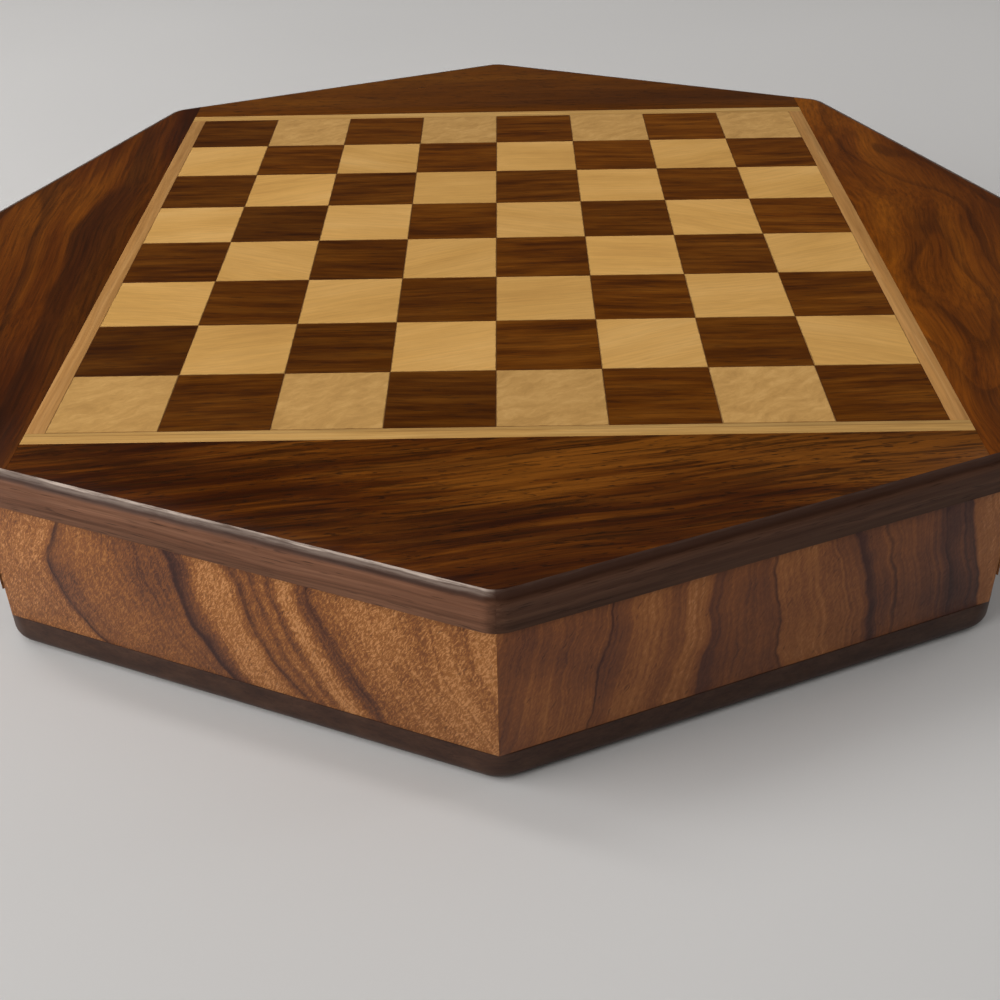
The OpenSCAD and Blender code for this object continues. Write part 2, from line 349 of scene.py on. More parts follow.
def random_shift():
    """Some far-off part of the plank, so that no two boards look alike."""
    return [random.uniform(-plank_reach, plank_reach) for _ in range(3)]


def lay_grain(piece, along, across, shift=None):
    """Stores the place in the plank. The grain runs in direction along."""
    along = Vector(along).normalized()
    across = Vector(across).normalized()
    through = along.cross(across)
    if shift is None:
        shift = random_shift()
    layer = piece.data.attributes.new("grain", "FLOAT_VECTOR", "POINT")
    for corner, place in zip(piece.data.vertices, layer.data):
        place.vector = (
            corner.co.dot(along) + shift[0],
            corner.co.dot(across) + shift[1],
            corner.co.dot(through) + shift[2],
        )


def lay_flat_grain(piece, side, shift=None):
    """Grain of a flat strip or veneer, along the edge of the board where it lies."""
    axes = (x_axis, y_axis) if side in ("near", "far") else (y_axis, x_axis)
    lay_grain(piece, *axes, shift)


def mark(piece, name, value_at):
    """Stores a number at each corner of a piece, for its finish to read."""
    layer = piece.data.attributes.new(name, "FLOAT", "POINT")
    for corner, place in zip(piece.data.vertices, layer.data):
        place.value = value_at(corner.co)


def side_frame(facing):
    """Directions along and up a side board that faces the given way."""
    angle = math.radians(facing)
    return (-math.sin(angle), math.cos(angle), 0), z_axis


print("A plank reaches", plank_reach, "m to each side of where its pieces are cut")

# %% [markdown]
# ## A bench for finishes
# A finish is a graph that ends in a shader. The bench adds what a finish needs: the place in the plank,
# noises, and ramps of colour. Woods are made of the same few noises: slow streaks give the colour, fine
# fibres run along them, and short dark pores follow the fibres.

# %% Finish bench
relief_depth = 0.02 * MM
satin = 0.08


class Bench(Graph):
    """Holds the graph of one material."""

    def __init__(self, name):
        self.material = bpy.data.materials.new(name)
        self.material.use_nodes = True
        super().__init__(self.material.node_tree)
        self.shader = self.tree.nodes["Principled BSDF"]

    def attribute(self, name, out="Fac"):
        """Reads what is stored at the corners of the piece."""
        return self.node("Attribute", attribute_name=name).outputs[out]

    def grain(self):
        return self.attribute("grain", "Vector")

    def place(self):
        return self.node("TexCoord").outputs["Object"]

    def length(self, vector):
        return self.node("VectorMath", {0: vector}, operation="LENGTH").outputs["Value"]

    def stretch(self, vector, scale, turn=0.0, shift=(0, 0, 0)):
        inputs = {"Vector": vector, "Scale": scale, "Rotation": (0, 0, turn), "Location": shift}
        return self.node("Mapping", inputs).outputs[0]

    def noise(self, vector, scale=1.0, detail=2.0, roughness=0.5, out="Fac"):
        inputs = {"Vector": vector, "Scale": scale, "Detail": detail, "Roughness": roughness}
        return self.node("TexNoise", inputs).outputs[out]

    def along_grain(self, vector, along, across, detail=2.0, roughness=0.5, shift=(0, 0, 0)):
        """Noise drawn out along the grain. The larger a number, the finer it is in that direction."""
        return self.noise(self.stretch(vector, (along, across, across), 0.0, shift), 1.0, detail, roughness)

    def on_face(self, vector, along, up, detail, shift=(0, 0, 0)):
        """Noise over the face of a board, nearly the same all through its thickness."""
        return self.noise(self.stretch(vector, (along, up, 1), 0.0, shift), 1.0, detail)

    def swing(self, noise, amount):
        """Turns a noise into a push to either side, by up to half the amount."""
        return self.times(self.minus(noise, 0.5), amount)

    def wander(self, vector, scale, amount):
        """Pushes the pattern about, by up to half the amount in each direction."""
        push = self.noise(vector, scale, out="Color")
        centred = self.node("VectorMath", {0: push, 1: (0.5, 0.5, 0.5)}, operation="SUBTRACT").outputs[0]
        inputs = {0: centred, 1: (amount, amount, amount), 2: vector}
        return self.node("VectorMath", inputs, operation="MULTIPLY_ADD").outputs[0]

    def ramp(self, value, stops):
        made = self.node("ValToRGB", {0: value})
        points = made.color_ramp.elements
        while len(points) < len(stops):
            points.new(0.5)
        for point, (position, colour) in zip(points, stops):
            point.position = position
            point.color = (*colour, 1)
        return made.outputs[0]

    def mix(self, share, a, b):
        colours = [(*c, 1) if isinstance(c, tuple) else c for c in (a, b)]
        inputs = {0: share, 6: colours[0], 7: colours[1]}
        return self.node("Mix", inputs, data_type="RGBA").outputs[2]

    def scale_colour(self, colour, amount):
        """Makes a colour lighter or darker."""
        return self.node("VectorMath", {0: colour, "Scale": amount}, operation="SCALE").outputs[0]

    def streaks(self, vector, along, across):
        return self.along_grain(vector, along, across, 5, 0.62)

    def fibres(self, vector):
        return self.along_grain(vector, 40, 1500, 3, 0.6)

    def shade_by(self, colour, fibres, strength):
        """Makes a colour lighter and darker by turns, as the fibres go."""
        return self.scale_colour(colour, self.fade(fibres, 0.25, 0.75, 1 - strength, 1 + strength))

    def pores(self, vector, strength, size=(170, 2400), peaks=(0.62, 0.74), shift=(0, 0, 0)):
        """Mask of short pores. Only the peaks of the noise make one."""
        return self.fade(self.along_grain(vector, *size, 1, 0.5, shift), *peaks, 0, strength)

    def bump(self, height, distance):
        return self.node("Bump", {"Height": height, "Distance": distance}).outputs["Normal"]

    def relief(self, raised, share, pores):
        """Slopes of a surface whose fibres stand up a little and whose pores are sunk."""
        height = self.minus(self.times(raised, share), pores)
        return self.bump(height, relief_depth)

    def finish(self, colour, roughness, normal=None, **even):
        """Plugs all into the shader. The even settings, such as Metallic, are the same everywhere."""
        self.plug(colour, self.shader.inputs["Base Color"])
        self.plug(roughness, self.shader.inputs["Roughness"])
        if normal is not None:
            self.plug(normal, self.shader.inputs["Normal"])
        for key, value in even.items():
            self.shader.inputs[key.replace("_", " ")].default_value = value
        print("Finish:", self.material.name, "with", len(self.tree.nodes), "nodes")
        return self.material


# %% [markdown]
# ## Straight-grained wood
# Walnut, maple, the dark stained base and the plain boards inside are all straight-grained: their streaks
# wander only a little. The lacquer is thin and satin, so its gloss is kept low.

# %% Straight-grained finish
dark_pore = (0.01, 0.004, 0.002)


def straight_wood(name, stops, streak=(7, 120), wander=0.004, fibre=0.16, pore=0.5, roughness=(0.3, 0.42),
                  pore_colour=dark_pore, gloss=satin, extra=None):
    """Streak says how fine the streaks are along and across the grain. Extra works on the colour."""
    b = Bench(name)
    plank = b.grain()
    wavy = b.wander(plank, 16, wander)
    fibres = b.fibres(wavy)
    pores = b.pores(plank, pore)
    colour = b.ramp(b.streaks(wavy, *streak), stops)
    colour = b.shade_by(colour, fibres, fibre)
    colour = b.mix(pores, colour, pore_colour)
    if extra:
        colour = extra(b, colour)
    rough = b.fade(b.noise(plank, 60, 3), 0.3, 0.7, *roughness)
    return b.finish(colour, rough, b.relief(fibres, 0.4, pores), Specular_IOR_Level=gloss)


# %% Inlay finishes
def glue_lines(b, colour):
    """Darkens the ragged glue line round every square. The joint lies 0.5 of a square from its middle."""
    place = b.place()
    off_middle = []
    for distance in b.split(place)[:2]:
        cell = b.math("FRACT", b.math("DIVIDE", b.plus(distance, board_half), square))
        off_middle.append(b.math("ABSOLUTE", b.minus(cell, 0.5)))
    line_start = b.fade(b.noise(place, 400, 2), 0.3, 0.7, 0.488, 0.4945)
    line = b.math("GREATER_THAN", b.math("MAXIMUM", *off_middle), line_start)
    return b.mix(b.times(line, 0.55), colour, (0.075, 0.022, 0.004))


def toned_squares(b, colour):
    return glue_lines(b, b.scale_colour(colour, b.attribute("tone")))


def maple_squares(b, colour):
    """Each square has its own tone, and those cut from a greyer board show a wavy slanting figure."""
    figure = b.along_grain(b.wander(b.grain(), 110, 0.007), 120, 330, 6, 0.74)
    return toned_squares(b, b.mix(b.attribute("grey"), colour, b.ramp(figure, grey_maple_stops)))


grey_maple_stops = [
    (0.34, (0.41, 0.222, 0.068)),
    (0.50, (0.50, 0.278, 0.088)),
    (0.66, (0.59, 0.342, 0.118)),
]
maple_stops = [
    (0.25, (0.51, 0.262, 0.068)),
    (0.45, (0.62, 0.337, 0.092)),
    (0.58, (0.66, 0.366, 0.108)),
    (0.80, (0.73, 0.435, 0.150)),
]
maple = straight_wood("maple_veneer", maple_stops, streak=(14, 70), fibre=0.08, pore=0.14, wander=0.006,
                      pore_colour=(0.25, 0.12, 0.03), extra=maple_squares)
walnut_stops = [
    (0.34, (0.053, 0.0125, 0.0003)),
    (0.44, (0.083, 0.0210, 0.0005)),
    (0.53, (0.108, 0.0298, 0.0011)),
    (0.68, (0.148, 0.0455, 0.0030)),
]
walnut = straight_wood("walnut_veneer", walnut_stops, streak=(30, 300), fibre=0.24, pore=0.55, wander=0.005,
                       extra=toned_squares)


# %% Border strip finish
def strip_line(b, colour):
    """A fine brown line runs along the near and far strips, where each was glued up from two."""
    beyond = b.minus(b.math("ABSOLUTE", b.split(b.place())[1]), board_half + 1.4 * MM)
    line = b.fade(b.math("ABSOLUTE", beyond), 0.0, 0.22 * MM, 0.45, 0.0)
    colour = b.scale_colour(colour, b.fade(beyond, -0.1 * MM, 0.1 * MM, 0.90, 1.04))
    return b.mix(line, colour, (0.20, 0.09, 0.025))


strip_stops = [(0.30, (0.44, 0.235, 0.066)), (0.50, (0.52, 0.290, 0.088)), (0.70, (0.60, 0.360, 0.125))]
side_stops = [(0.30, (0.385, 0.180, 0.052)), (0.50, (0.445, 0.218, 0.066)), (0.70, (0.51, 0.265, 0.090))]
strip_finish = {
    "across": straight_wood("maple_strip_across", strip_stops, streak=(16, 520), fibre=0.14, pore=0.20,
                            pore_colour=(0.25, 0.12, 0.04), extra=strip_line),
    "along": straight_wood("maple_strip_along", side_stops, streak=(14, 620), fibre=0.12, pore=0.2,
                           pore_colour=(0.22, 0.10, 0.03)),
}

# %% [markdown]
# ## Rosewood veneer
# The four fields round the board are rosewood. Broad patches set the tone, finer streaks run along the
# grain, and on top lies a figure of dark growth lines. It is drawn like contour lines on a map: a smooth
# field of heights is cut into steps, and each step is dark at its lower edge and fades away from it.

# %% Rosewood finish
def growth_lines(b, wavy, figure, lines):
    """Cuts a field of heights into steps that are dark at their lower edge and fade away from it."""
    step = b.math("FRACT", b.times(b.along_grain(wavy, *figure, 1, 0.4), lines))
    return b.times(b.fade(step, 0.0, 0.40, 1, 0), b.fade(step, 0.0, 0.06, 0, 1))


def rosewood(name, turn, stops, streak=(9, 150), warp=0.012, shift=(0, 0, 0), ink=0.8,
             figure=(4, 22), lines=4.0, line_share=0.5, glows=(), streak_share=0.58, pore=0.7):
    """Veneer that is turned a little from its straight edge. A glow is (x, y, width, depth, strength)."""
    b = Bench(name)
    plank = b.stretch(b.grain(), (1, 1, 1), turn, shift)
    wavy = b.wander(plank, 9, warp)
    streaks = b.times(b.streaks(wavy, *streak), streak_share)
    broad = b.times(b.along_grain(wavy, 7, 32), 1 - streak_share)
    value = b.plus(streaks, broad)
    for x, y, width, depth, strength in glows:
        to_glow = b.stretch(b.place(), (1 / width, 1 / depth, 0), 0, (-x / width, -y / depth, 0))
        value = b.plus(value, b.fade(b.length(to_glow), 0.2, 1.4, strength, 0))
    colour = b.ramp(value, stops)
    ring_dark = b.times(growth_lines(b, wavy, figure, lines), line_share)
    colour = b.mix(ring_dark, colour, (0.022, 0.006, 0.0012))
    black = b.fade(b.along_grain(wavy, 38, 1000, 4, 0.65, (3, 1, 7)), 0.51, 0.59)
    patches = b.fade(b.along_grain(wavy, 12, 60, shift=(9, 4, 2)), 0.36, 0.56, 0.25, ink)
    colour = b.mix(b.times(black, patches), colour, (0.024, 0.0068, 0.0005))
    fibres = b.fibres(wavy)
    pores = b.pores(plank, pore, (300, 1800), (0.62, 0.72))
    colour = b.shade_by(colour, fibres, 0.24)
    colour = b.mix(pores, colour, (0.012, 0.004, 0.001))
    rough = b.fade(b.noise(plank, 40, 3), 0.3, 0.7, 0.27, 0.36)
    return b.finish(colour, rough, b.relief(fibres, 0.4, pores), Specular_IOR_Level=satin)


brown_stops = [
    (0.38, (0.030, 0.0056, 0.0002)),
    (0.46, (0.060, 0.0128, 0.0003)),
    (0.53, (0.104, 0.0260, 0.0010)),
    (0.62, (0.188, 0.0570, 0.0044)),
]
red_stops = [
    (0.38, (0.024, 0.0046, 0.0002)),
    (0.46, (0.056, 0.0112, 0.0003)),
    (0.54, (0.094, 0.0210, 0.0007)),
    (0.64, (0.155, 0.0410, 0.0020)),
]
gold_stops = [
    (0.38, (0.105, 0.0240, 0.0009)),
    (0.46, (0.165, 0.0410, 0.0016)),
    (0.54, (0.240, 0.0660, 0.0030)),
    (0.64, (0.320, 0.1050, 0.0060)),
]
plain_stops = [
    (0.36, (0.086, 0.0225, 0.0008)),
    (0.50, (0.134, 0.0370, 0.0014)),
    (0.64, (0.180, 0.0560, 0.0030)),
]
near_glows = [
    (0.014, -0.121, 0.038, 0.014, 0.12),
    (0.088, -0.114, 0.048, 0.016, 0.19),
    (0.0, -0.145, 0.035, 0.014, -0.01),
    (-0.085, -0.115, 0.055, 0.02, -0.04),
]
field_finish = {
    "near": rosewood("rosewood_near", -0.16, brown_stops, (17, 330), line_share=0.3, figure=(5, 34),
                     glows=near_glows, ink=0.65),
    "far": rosewood("rosewood_far", 0.0, plain_stops, (6, 60), shift=(2, 5, 1), line_share=0.1, ink=0.3),
    "left": rosewood("rosewood_left", 0.04, red_stops, (7, 110), shift=(7, 2, 4), ink=0.4, figure=(3, 26),
                     lines=5, line_share=0.6, streak_share=0.42, pore=0.2),
    "right": rosewood("rosewood_right", -0.06, gold_stops, (7, 90), warp=0.03, shift=(1, 9, 3), ink=0.2,
                      figure=(9, 30), lines=7, line_share=0.4, streak_share=0.40, pore=0.2),
}

# %% [markdown]
# ## Figured sheesham
# The side boards are figured. Growth bands stand nearly upright across them, each with a thin dark line on
# one side that fades into orange on the other, and the interlocked grain has curly flecks with painted
# glints.
# The bands are laid out like the colours of a fabric: a list says at what distance from the board's left
# end each tone stands. The board's height then makes them lean, and noise makes them waver.

# %% Sheesham finish
wall_length = 2 * wall_out * math.tan(half_turn)
wall_height = wall_top - base_top
length_mm = 1000 * wall_length
sheesham_tones = [
    (0.00, (0.046, 0.018, 0.014)),
    (0.25, (0.102, 0.038, 0.020)),
    (0.50, (0.205, 0.074, 0.024)),
    (0.75, (0.325, 0.127, 0.035)),
    (1.00, (0.530, 0.250, 0.098)),
]
waver_mm = 7.0
ripple_mm = 1.6
line_edge_mm = 0.35
bare, marked = (0, 0, 0), (1, 1, 1)


def bend_bands(b, along, up, moved, lean, bow):
    """Distance along the board as its bands see it, once they lean, bow, waver and ripple."""
    depth = b.math("DIVIDE", b.minus(wall_top, up), wall_height)
    curve = b.math("POWER", b.math("MAXIMUM", depth, 0.0), 1.4)
    arch = b.times(b.times(depth, 4.0), b.minus(1.0, depth))
    bent = b.minus(along, b.times(b.fade(along, *lean), curve))
    bent = b.minus(bent, b.times(b.fade(along, *bow), arch))
    bent = b.plus(bent, b.swing(b.on_face(moved, 45, 60, 1), waver_mm))
    return b.plus(bent, b.swing(b.on_face(moved, 160, 240, 3), ripple_mm))


def line_stops(lines):
    """Marks each line on a ramp, with a sharp left edge and a soft right one."""
    stops = [(0.0, bare)]
    for at, width in lines:
        stops += [(at - line_edge_mm, bare), (at, marked), (at + width, bare)]
    return [(at / length_mm, colour) for at, colour in stops]


def figured_sheesham(name, bands, lines, lean, bow, shift=(0, 0, 0), flecks=1.0, tint=(1, 1, 1)):
    """Bands are (distance, tone) and lines (distance, width), in mm from the board's left end.

    Lean and bow are (from, to, push there, push there), also in mm. The lean grows from the top down, and
    the bow is largest at half height.
    """
    b = Bench(name)
    plank = b.grain()
    along, up = b.split(plank)[:2]
    along_mm = b.plus(b.times(along, 1000), length_mm / 2)
    moved = b.stretch(plank, (1, 1, 1), 0, shift)
    bent = bend_bands(b, along_mm, up, moved, lean, bow)
    share = b.math("DIVIDE", bent, length_mm)
    tone = b.ramp(share, [(at / length_mm, (value, value, value)) for at, value in bands])
    line = b.ramp(share, line_stops(lines))
    curly = b.wander(b.stretch(moved, (1, 1, 1), 0.5), 420, 0.0013)
    fleck = b.along_grain(curly, 3000, 760, 4, 0.76)
    # Painted glints: the pale curly flecks are painted into the colour, more strongly where a band is pale.
    # The dark flecks are the grain's own.
    flecks_and_glints = b.fade(fleck, 0.42, 0.66, -0.17, 0.36)
    fleck_strength = b.fade(tone, 0.2, 0.7, 0.42 * flecks, 0.92 * flecks)
    tone = b.plus(tone, b.times(flecks_and_glints, fleck_strength))
    tone = b.plus(tone, b.swing(b.on_face(moved, 60, 45, 3), 0.65))
    threads = b.on_face(b.node("CombineXYZ", {0: bent, 1: up}).outputs[0], 1.3, 12, 3)
    tone = b.plus(tone, b.swing(threads, 0.55))
    colour = b.ramp(tone, sheesham_tones)
    uneven = b.fade(b.on_face(moved, 20, 90, 2, (5, 5, 5)), 0.3, 0.6, 0.35, 0.95)
    colour = b.mix(b.times(line, uneven), colour, (0.030, 0.011, 0.010))
    pores = b.pores(curly, 0.5, (1900, 300), (0.66, 0.75), (2, 2, 2))
    colour = b.mix(pores, colour, (0.035, 0.012, 0.008))
    colour = b.node("VectorMath", {0: colour, 1: tint}, operation="MULTIPLY").outputs[0]
    rough = b.fade(fleck, 0.3, 0.7, 0.50, 0.38)
    return b.finish(colour, rough, b.relief(fleck, 0.5, pores), Specular_IOR_Level=0.2)


# %% Figure of each side board
last_band_mm = 118
most_bands, most_lines = 30, 9


def any_figure(seed):
    """Bands and lines of a board, drawn at random but always the same for a seed.

    A ramp holds 32 colours, which limits both.
    """
    draw = random.Random(seed)
    bands, lines, at = [], [], 0.0
    while at < last_band_mm:
        pale = draw.uniform(0.48, 0.85)
        width = draw.uniform(4, 13)
        bands += [(at + 0.2, pale), (at + 0.75 * width, draw.uniform(0.4, 0.7))]
        at += width
        dark = draw.uniform(0.12, 0.42)
        bands += [(at, dark), (at + draw.uniform(0.8, 3.0), dark + 0.08)]
        if draw.random() < 0.6 and len(lines) < most_lines:
            lines.append((at, draw.uniform(0.5, 1.6)))
        at = bands[-1][0]
    return bands[:most_bands], lines


near_left_bands = [
    (0, 0.6), (5, 0.64), (19, 0.66), (20.6, 0.36), (24, 0.44), (33, 0.5), (43, 0.4),
    (46.8, 0.44), (47.9, 0.14), (50.8, 0.26), (53.5, 0.64), (56, 0.8), (62, 0.76), (64.5, 0.34),
    (66.5, 0.55), (68.5, 0.36), (70.2, 0.62), (72, 0.42), (73.4, 0.55), (75, 0.9),
    (77.5, 0.88), (80, 0.44), (82.2, 0.32), (84.5, 0.6), (92, 0.74), (104, 0.72), (112, 0.8),
    (115.5, 0.62), (118, 0.86), (124, 0.76),
]
near_left_lines = [(20.8, 1.6), (48.1, 1.6), (64.6, 0.8), (82.4, 0.45)]
near_right_bands = [
    (0, 0.56), (6, 0.42), (9, 0.52), (20, 0.46), (24.5, 0.5), (27, 0.34), (29, 0.36),
    (31.5, 0.6), (35, 0.66), (38, 0.56), (40.5, 0.42), (42.5, 0.66), (46, 0.66), (48, 0.3),
    (50.2, 0.24), (52, 0.46), (61.5, 0.44), (63.5, 0.68), (72, 0.62), (76, 0.54), (80, 0.46),
    (82.2, 0.18), (84, 0.34), (87, 0.42), (95, 0.4), (100, 0.38), (103.5, 0.22), (106, 0.27),
    (110.6, 0.15), (112, 0.7),
]
near_right_lines = [(25.6, 0.4), (62.3, 0.5), (81.9, 1.4), (88.3, 0.8), (104, 1.8), (110.8, 0.6)]
wall_finish = {
    247.5: figured_sheesham("sheesham_near_left", near_left_bands, near_left_lines, (15, 85, 6, 15),
                            (20, 55, -6, -1), tint=(1.14, 1.10, 1.05)),
    292.5: figured_sheesham("sheesham_near_right", near_right_bands, near_right_lines, (20, 90, -6, 8),
                            (50, 80, 0, 2.5), (3, 1, 2), flecks=0.38, tint=(1.16, 1.09, 1.14)),
}
unseen_boards = [
    (67.5, "far_right", 5, (4, -6), (2, -3), (5, 5, 1)),
    (112.5, "far_left", 8, (-3, 9), (-3, 2), (8, 2, 6)),
    (22.5, "right_far", 13, (7, 2), (0, 3), (2, 7, 5)),
    (337.5, "right_near", 21, (-5, 6), (2, 0), (6, 3, 3)),
    (157.5, "left_far", 34, (5, -4), (-2, 3), (9, 9, 2)),
    (202.5, "left_near", 55, (3, 10), (3, -2), (4, 8, 8)),
]
for facing, side, seed, lean, bow, shift in unseen_boards:
    wall_finish[facing] = figured_sheesham(
        "sheesham_" + side, *any_figure(seed), (10, 110, *lean), (20, 90, *bow), shift
    )

# %% [markdown]
# ## Dark edges
# The rim and the base are stained a dark reddish brown. The rim's rounded edge is darker, and its very top
# is pale, partly worn and partly a painted highlight, most of all along the near left strip. Each rim strip's
# tone also holds painted light: the strips facing left are lighter, those facing right darker.

# %% Dark finishes
rim_stops = [
    (0.32, (0.070, 0.029, 0.015)),
    (0.46, (0.096, 0.042, 0.023)),
    (0.58, (0.124, 0.057, 0.032)),
    (0.74, (0.165, 0.078, 0.044)),
]


def wear_and_highlight_share(b, height, speckle):
    """How pale the rounded edge is: a painted sheen greys it a little, and its very top is worn bare and
    painted as a highlight.
    """
    # The grey band is a painted sheen. The pale top line is partly worn lacquer and partly a painted
    # highlight, broken up by speckle.
    painted_sheen = b.fade(height, top - 0.80 * MM, top - 0.20 * MM, 0, 0.42)
    bare_and_highlight = b.fade(height, top - 0.14 * MM, top - 0.03 * MM, 0, 0.95)
    speckled = b.fade(speckle, 0.32, 0.60, 0.35, 1)
    return b.times(b.times(b.plus(painted_sheen, bare_and_highlight), speckled), b.attribute("wear_and_highlight"))


def rim_wood():
    """Dark streaky wood. Strip tones are partly painted light; the edge is darker, its top worn and a painted
    highlight.
    """
    b = Bench("dark_rim")
    plank = b.grain()
    wavy = b.wander(plank, 16, 0.004)
    pores = b.pores(plank, 0.5)
    colour = b.ramp(b.streaks(wavy, 6, 520), rim_stops)
    colour = b.shade_by(colour, b.fibres(wavy), 0.18)
    # Painted light: each rim strip's tone makes the strips facing left lighter and those facing right darker.
    colour = b.scale_colour(colour, b.attribute("tone"))
    colour = b.mix(pores, colour, dark_pore)
    height = b.plus(b.split(b.place())[2], b.swing(b.noise(b.place(), 90, 2), 0.4 * MM))
    colour = b.scale_colour(colour, b.fade(height, wall_top + 1.5 * MM, wall_top + 4 * MM, 0.82, 1.08))
    rounded = b.fade(height, top - 1.7 * MM, top - 0.8 * MM, 0, 0.85)
    colour = b.mix(rounded, colour, (0.028, 0.0095, 0.0042))
    speckle = b.along_grain(plank, 150, 1900, 4, 0.7)
    # Painted highlight along the rim's top edge, mixed with its worn pale lacquer.
    colour = b.mix(wear_and_highlight_share(b, height, speckle), colour, (0.60, 0.48, 0.40))
    rough = b.fade(speckle, 0.40, 0.62, 0.30, 0.46)
    return b.finish(colour, rough, b.relief(speckle, 0.6, pores), Specular_IOR_Level=0.1)


rim_finish = rim_wood()
base_stops = [(0.32, (0.036, 0.015, 0.009)), (0.50, (0.053, 0.023, 0.013)), (0.70, (0.072, 0.033, 0.019))]
base_finish = straight_wood("dark_base", base_stops, streak=(5, 300), fibre=0.15, pore=0.4,
                            roughness=(0.42, 0.52), gloss=0.25)

# %% Plain finishes
plain_wood = straight_wood(
    "inner_hardwood",
    [(0.3, (0.27, 0.145, 0.066)), (0.5, (0.37, 0.22, 0.11)), (0.7, (0.46, 0.29, 0.155))],
    streak=(6, 140), fibre=0.12, pore=0.5, pore_colour=(0.16, 0.08, 0.035), roughness=(0.55, 0.7),
)
plywood = straight_wood(
    "birch_plywood",
    [(0.3, (0.36, 0.22, 0.11)), (0.5, (0.46, 0.30, 0.16)), (0.7, (0.54, 0.37, 0.21))],
    streak=(4, 60), fibre=0.10, pore=0.35, pore_colour=(0.22, 0.12, 0.055), roughness=(0.6, 0.75),
)

# %% [markdown]
# ## Felt, brass and steel
# The felt's surface is a mat of fibres, so its colour and height are the same fine noise, with a little
# sheen. Brass gets a slow change of roughness, as from handling, and steel a fine turned scratch.

# %% Felt and metals
felt_stops = [(0.3, (0.006, 0.035, 0.014)), (0.5, (0.014, 0.072, 0.030)), (0.7, (0.030, 0.115, 0.052))]


def felt_finish():
    b = Bench("green_felt")
    place = b.place()
    mat = b.noise(b.wander(place, 500, 0.001), 1800, 3, 0.7)
    worn = b.noise(place, 30, 3)
    value = b.plus(b.times(mat, 0.7), b.times(worn, 0.3))
    colour = b.ramp(value, felt_stops)
    return b.finish(colour, 0.95, b.bump(mat, 0.4 * MM), Sheen_Weight=0.35, Sheen_Roughness=0.5)


def metal_finish(name, colour, roughness, scratch):
    b = Bench(name)
    place = b.place()
    handled = b.noise(place, 160, 4, 0.6)
    tint = b.scale_colour(colour, b.fade(handled, 0.3, 0.7, 0.86, 1.06))
    rough = b.fade(handled, 0.3, 0.7, *roughness)
    lines = b.noise(b.stretch(place, scratch), 1, 2)
    return b.finish(tint, rough, b.bump(lines, 0.01 * MM), Metallic=1.0)


felt = felt_finish()
brass = metal_finish("polished_brass", (0.72, 0.46, 0.15), (0.16, 0.30), (3000, 200, 200))
steel = metal_finish("zinc_steel", (0.55, 0.55, 0.57), (0.28, 0.42), (400, 2500, 2500))

# %% [markdown]
# ## The squares
# Sixty-four squares of veneer lie edge to edge. One is modelled, with its upper edges eased, and an Array
# modifier sets out every second one of every second row. A second set fills the rows between.

# %% Squares
def lay_tiles(name, first_is_odd):
    """Sets out a tile of each of the first two rows over the whole board, and joins them all."""
    sets = []
    for row in (0, 1):
        column = (row + first_is_odd) % 2
        low = (column * square - board_half, row * square - board_half, core_top)
        tile = add_block(name, low, (low[0] + square, low[1] + square, top))
        open_piece(tile, "EDGE", at_height(top))
        bpy.ops.mesh.bevel(offset=veneer_ease, segments=ease_steps, affect="EDGES")
        close_piece()
        for step in ((2 * square, 0, 0), (0, 2 * square, 0)):
            apply_modifier(tile, "ARRAY", count=squares // 2, use_relative_offset=False,
                           use_constant_offset=True, constant_offset_displace=step)
        sets.append(tile)
    pick(sets[0])
    sets[1].select_set(True)
    bpy.ops.object.join()
    return settle(bpy.context.object, name)


def cells_of(board):
    """The column and row of the square that each corner of the mesh belongs to."""
    cells = {}
    for face in board.data.polygons:
        cell = tuple(math.floor((face.center[axis] + board_half) / square) for axis in (0, 1))
        for index in face.vertices:
            cells[index] = cell
    return cells


def set_squares(name, node, material, first_is_odd, spread, trends, turn_of):
    """Lays 32 squares of one wood. Each gets its own place, turn, tone and greyness in the plank.

    The trends say how much lighter the wood gets to the right and to the back.
    """
    board = lay_tiles(name, first_is_odd)
    cells = cells_of(board)
    planks = {}
    for column, row in sorted(set(cells.values())):
        shift = Vector(random_shift())
        turn, grey = turn_of(row)
        to_right, to_back = column / (squares - 1), row / (squares - 1)
        trend = trends[0] * (to_right - 0.5) + trends[1] * to_back ** 2
        lightness = 1 + random.uniform(-spread, spread) + trend
        planks[column, row] = (Matrix.Rotation(turn, 3, "Z"), shift, lightness, grey)
    for layer, kind in (("grain", "FLOAT_VECTOR"), ("tone", "FLOAT"), ("grey", "FLOAT")):
        board.data.attributes.new(layer, kind, "POINT")
    grain, tone, greyness = (board.data.attributes[layer].data for layer in ("grain", "tone", "grey"))
    for corner in board.data.vertices:
        turned, shift, lightness, grey = planks[cells[corner.index]]
        grain[corner.index].vector = turned @ corner.co + shift
        tone[corner.index].value = lightness
        greyness[corner.index].value = grey
    board.data.materials.append(material)
    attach(board, "case")
    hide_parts(node)
    print(name, "has", len(planks), "squares")


def maple_turn(row):
    """The first and last rows were cut from a greyer board, on the slant."""
    if row in (0, squares - 1):
        return math.radians(random.uniform(-50, -25)), random.uniform(0.85, 1.0)
    return math.radians(random.uniform(-25, 25)), random.uniform(0.0, 0.15)


def walnut_turn(row):
    return math.radians(random.uniform(-4, 4)), 0.0


set_squares("light_inlay", "light_squares", maple, 0, 0.05, (0.04, 0.0), maple_turn)
set_squares("dark_inlay", "dark_squares", walnut, 1, 0.15, (0.40, 0.18), walnut_turn)

# %% [markdown]
# ## The pale border
# Four maple strips frame the squares. The near and the far one run the full width, and the side strips
# are fitted between them.

# %% Border strips
def dress(piece, body, slot_name, material, *nodes):
    piece.data.materials.clear()
    piece.data.materials.append(material)
    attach(piece, body)
    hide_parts(*nodes)


